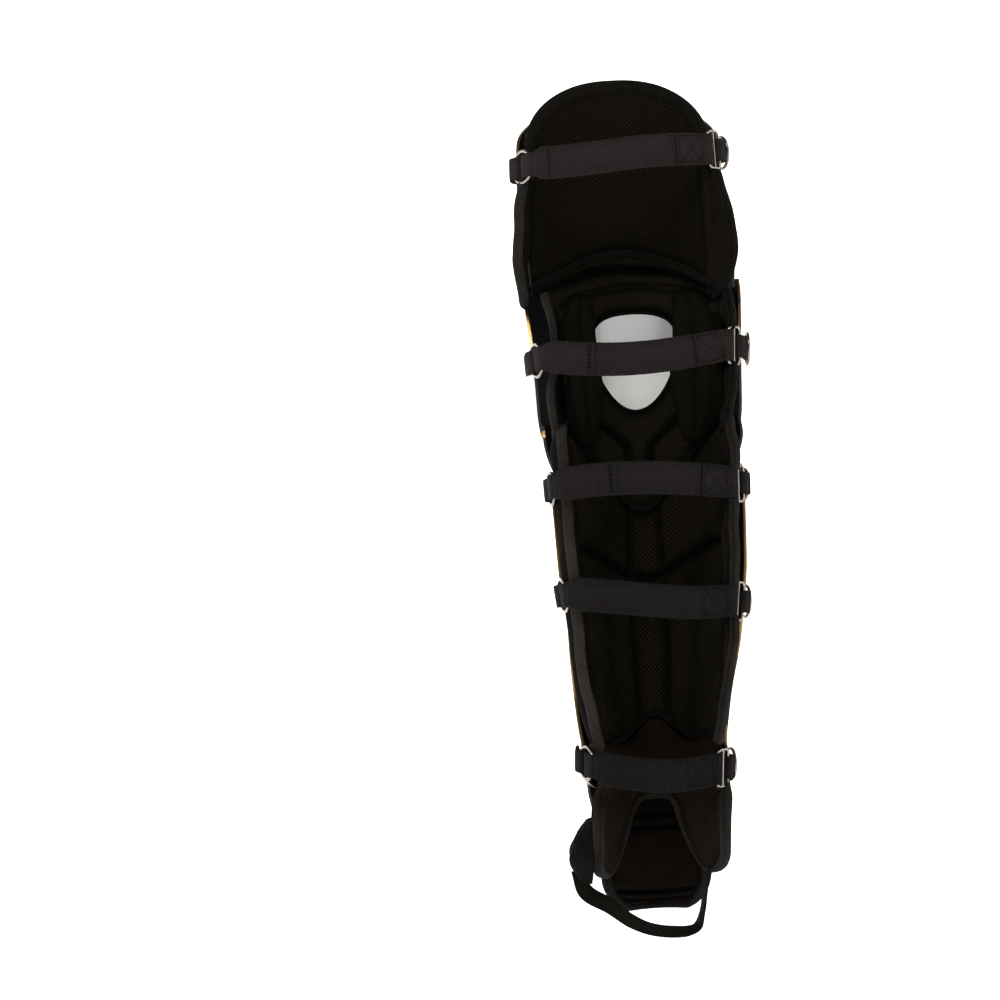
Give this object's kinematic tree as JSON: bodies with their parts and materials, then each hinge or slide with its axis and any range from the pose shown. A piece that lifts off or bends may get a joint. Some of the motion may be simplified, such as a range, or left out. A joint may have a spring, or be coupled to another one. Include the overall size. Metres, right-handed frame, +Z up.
{
  "type": "catcher's leg guard",
  "caption": "Catcher's leg guard for the right leg: lapped hard plates over mesh padding, with bound side wings, hooked rear straps and a strap under the foot.",
  "frame": {"origin": "on the leg's axis, level with the middle of the knee hole", "axes": "+Z up the leg, +Y forwards out of the knee, +X to the wearer's right"},
  "size_m": [0.1905, 0.1987, 0.6833],
  "materials": {
    "mesh_fabric": "matt spacer mesh, warm black",
    "bound_fabric": "matt herringbone tape and knit, neutral black",
    "coated_fabric": "coated cloth with a leathery crease, low sheen",
    "webbing": "ribbed webbing, grey black",
    "shell": "gloss, cream gold outside and pale inside",
    "nickel_wire": "polished nickel, slightly worn",
    "dark_stud": "polished dark nickel dome"
  },
  "bodies": {
    "root": {"thigh_pad": "mesh_fabric", "knee_fold": "mesh_fabric", "knee_pad": "mesh_fabric", "knee_column_left": "mesh_fabric", "knee_column_right": "mesh_fabric", "shin_pad": "mesh_fabric", "ankle_pad": "mesh_fabric", "toe_pad": "mesh_fabric", "thigh_wing_left": "bound_fabric", "thigh_wing_right": "bound_fabric", "knee_wing_left": "bound_fabric", "knee_wing_right": "bound_fabric", "shin_wing_left": "bound_fabric", "shin_wing_right": "bound_fabric", "stirrup_pocket": "coated_fabric", "stirrup_strap": "webbing", "thigh_shell": "shell", "knee_cap_upper": "shell", "knee_cap": "shell", "knee_cap_lower": "shell", "shin_shell": "shell", "ankle_shell": "shell", "toe_shell": "shell", "strap_1": "webbing", "tab_inner_1": "webbing", "tab_outer_1": "webbing", "ring_inner_1": "nickel_wire", "ring_outer_1": "nickel_wire", "hook_1": "nickel_wire", "button_1": "dark_stud", "strap_2": "webbing", "tab_inner_2": "webbing", "tab_outer_2": "webbing", "ring_inner_2": "nickel_wire", "ring_outer_2": "nickel_wire", "hook_2": "nickel_wire", "button_2": "dark_stud", "strap_3": "webbing", "tab_inner_3": "webbing", "tab_outer_3": "webbing", "ring_inner_3": "nickel_wire", "ring_outer_3": "nickel_wire", "hook_3": "nickel_wire", "button_3": "dark_stud", "strap_4": "webbing", "tab_inner_4": "webbing", "tab_outer_4": "webbing", "ring_inner_4": "nickel_wire", "ring_outer_4": "nickel_wire", "hook_4": "nickel_wire", "button_4": "dark_stud", "strap_5": "webbing", "tab_inner_5": "webbing", "tab_outer_5": "webbing", "ring_inner_5": "nickel_wire", "ring_outer_5": "nickel_wire", "hook_5": "nickel_wire", "button_5": "dark_stud"}
  },
  "joints": []
}
